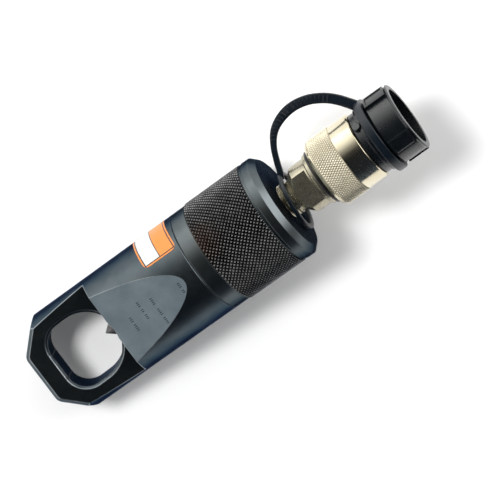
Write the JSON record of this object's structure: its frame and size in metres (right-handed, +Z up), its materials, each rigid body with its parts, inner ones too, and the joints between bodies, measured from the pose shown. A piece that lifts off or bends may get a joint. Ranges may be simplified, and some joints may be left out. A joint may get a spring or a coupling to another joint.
{
  "type": "hydraulic nut cutter",
  "caption": "Angled-head hydraulic nut cutter: a spring-return piston drives a chisel across a through opening; screw coupler with a strapped dust cap.",
  "frame": {"origin": "on the head's flat back, in the tool's plane of symmetry, between the nut opening and the barrel", "axes": "+X from the nut opening to the hose end, +Z up, away from the bench that the flat back lies on; the bore's axis rises 10 degrees towards +X"},
  "size_m": [0.215, 0.0647, 0.0638],
  "materials": {
    "blued_steel": "dark blued steel, ground grey on the front slope",
    "black_steel": "black oxide steel, knurled grip",
    "screw_steel": "black oxide screw",
    "seal_rubber": "smooth nitrile rubber",
    "spring_steel": "drawn spring wire",
    "plated_steel": "yellow nickel plate, worn",
    "black_plastic": "black ring",
    "bright_steel": "ground steel",
    "guide_plastic": "filled bearing plastic",
    "tool_steel": "hardened tool steel, ground",
    "nickel_gold": "champagne nickel plate, knurled",
    "strap_rubber": "flexible moulded rubber",
    "cap_plastic": "moulded black plastic, satin"
  },
  "bodies": {
    "tool_body": {"cutter_head": "blued_steel", "barrel": "black_steel", "thread_lock_screw": "screw_steel", "rod_wiper": "seal_rubber", "return_spring": "spring_steel", "coupler_tail": "plated_steel", "coupler_sleeve": "plated_steel", "coupler_face_seal": "seal_rubber", "coupler_washer": "black_plastic", "collar_clip": "spring_steel", "poppet_guide": "plated_steel", "poppet_spring": "spring_steel"},
    "ram": {"piston": "bright_steel", "piston_guide_ring": "guide_plastic", "piston_backup_ring": "guide_plastic", "piston_seal": "seal_rubber", "chisel": "tool_steel", "chisel_set_screw": "screw_steel"},
    "collar": {"coupler_collar": "nickel_gold"},
    "poppet": {"check_poppet": "bright_steel"},
    "strap": {"cap_strap": "strap_rubber"},
    "cap": {"dust_cap": "cap_plastic", "cap_seal": "seal_rubber"}
  },
  "joints": [
    {"name": "piston_stroke", "type": "slide", "parent": "tool_body", "child": "ram", "axis": [-0.9848, 0, -0.1736], "range_m": [0, 0.014], "stiffness_N_per_m": 4000, "springref_m": -0.01, "deforming": ["return_spring"]},
    {"name": "collar_spin", "type": "hinge", "parent": "tool_body", "child": "collar", "pos_m": [0.11517, 0, 0.03981], "axis": [0.9848, 0, 0.1736], "continuous": true},
    {"name": "poppet_lift", "type": "slide", "parent": "tool_body", "child": "poppet", "axis": [-0.9848, 0, -0.1736], "range_m": [0, 0.003], "stiffness_N_per_m": 800, "springref_m": -0.003, "deforming": ["poppet_spring"]},
    {"name": "cap_travel", "type": "slide", "parent": "tool_body", "child": "strap", "axis": [0.9848, 0, 0.1736], "range_m": [0, 0.009], "deforming": ["cap_strap"]},
    {"name": "cap_turn", "type": "hinge", "parent": "strap", "child": "cap", "pos_m": [0.13487, 0, 0.04329], "axis": [0.9848, 0, 0.1736], "range_deg": [0, 1080]}
  ],
  "couplings": [
    {"joint": "cap_travel", "follows": "cap_turn", "m_per_rad": 0.0004774}
  ]
}
